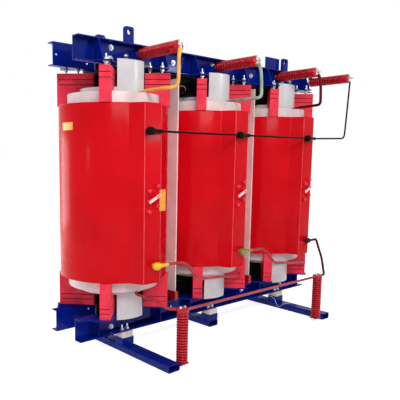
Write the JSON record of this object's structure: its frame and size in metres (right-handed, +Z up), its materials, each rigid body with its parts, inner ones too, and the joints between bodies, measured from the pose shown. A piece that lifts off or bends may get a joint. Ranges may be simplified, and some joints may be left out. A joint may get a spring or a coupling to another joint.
{
  "type": "grounding transformer",
  "caption": "Dry-type grounding transformer with cast-resin coils between channel beams on foot rails, ribbed insulators, a neutral lead and coloured phase leads",
  "frame": {"origin": "on the floor, straight below the middle coil's axis", "axes": "+X along the row of coils toward the neutral insulator, -Y toward the side with the terminals, +Z up"},
  "size_m": [2.094, 0.836, 1.747],
  "materials": {
    "winding_resin": "gloss",
    "block_resin": "satin",
    "white_resin": "satin",
    "white_sheet": "matte",
    "core_steel": "satin",
    "insulation_sheet": "matte",
    "blue_paint": "gloss",
    "zinc_steel": "satin",
    "cream_block": "matte",
    "insulator_resin": "gloss",
    "yellow_sleeve": "satin",
    "green_sleeve": "satin",
    "dark_red_sleeve": "satin",
    "red_sleeve": "satin",
    "pink_sleeve": "satin",
    "black_sleeve": "satin",
    "yellow_boot": "satin",
    "green_boot": "satin",
    "tap_resin": "gloss",
    "link_metal": "satin",
    "yellow_plate": "matte",
    "clip_plastic": "satin"
  },
  "bodies": {
    "root": {"outer_winding_a": "winding_resin", "outer_winding_b": "winding_resin", "outer_winding_c": "winding_resin", "inner_winding_a": "white_resin", "inner_winding_b": "white_resin", "inner_winding_c": "white_resin", "barrier_tube_a": "white_sheet", "barrier_tube_b": "white_sheet", "barrier_tube_c": "white_sheet", "core_limb_a": "core_steel", "core_limb_b": "core_steel", "core_limb_c": "core_steel", "upper_blocks_a": "block_resin", "upper_blocks_b": "block_resin", "upper_blocks_c": "block_resin", "lower_blocks_a": "block_resin", "lower_blocks_b": "block_resin", "lower_blocks_c": "block_resin", "upper_yoke": "core_steel", "lower_yoke": "core_steel", "yoke_insulation": "insulation_sheet", "upper_front_beam": "blue_paint", "upper_rear_beam": "blue_paint", "lower_front_beam": "blue_paint", "lower_rear_beam": "blue_paint", "block_studs": "zinc_steel", "clamp_bolts": "zinc_steel", "lifting_lugs": "blue_paint", "name_plate_carrier": "blue_paint", "left_rail": "blue_paint", "middle_rail": "blue_paint", "right_rail": "blue_paint", "foot_pads": "cream_block", "foot_studs": "zinc_steel", "left_post": "insulator_resin", "right_post": "insulator_resin", "post_brackets": "blue_paint", "bushing_1": "insulator_resin", "bushing_2": "insulator_resin", "bushing_3": "insulator_resin", "bushing_4": "insulator_resin", "insulator_hardware": "zinc_steel", "end_bracket": "blue_paint", "phase_lead_a": "yellow_sleeve", "phase_lead_b": "green_sleeve", "phase_lead_c": "dark_red_sleeve", "lower_boot_a": "yellow_boot", "lower_boot_b": "green_boot", "lower_boot_c": "dark_red_sleeve", "neutral_boots": "black_sleeve", "neutral_lead": "black_sleeve", "linking_leads": "red_sleeve", "post_leads": "red_sleeve", "tie_rod": "pink_sleeve", "tap_studs": "tap_resin", "tap_links": "link_metal", "tap_tag": "yellow_plate", "phase_board_ab": "white_sheet", "phase_board_bc": "white_sheet", "board_clips": "clip_plastic"}
  },
  "joints": []
}
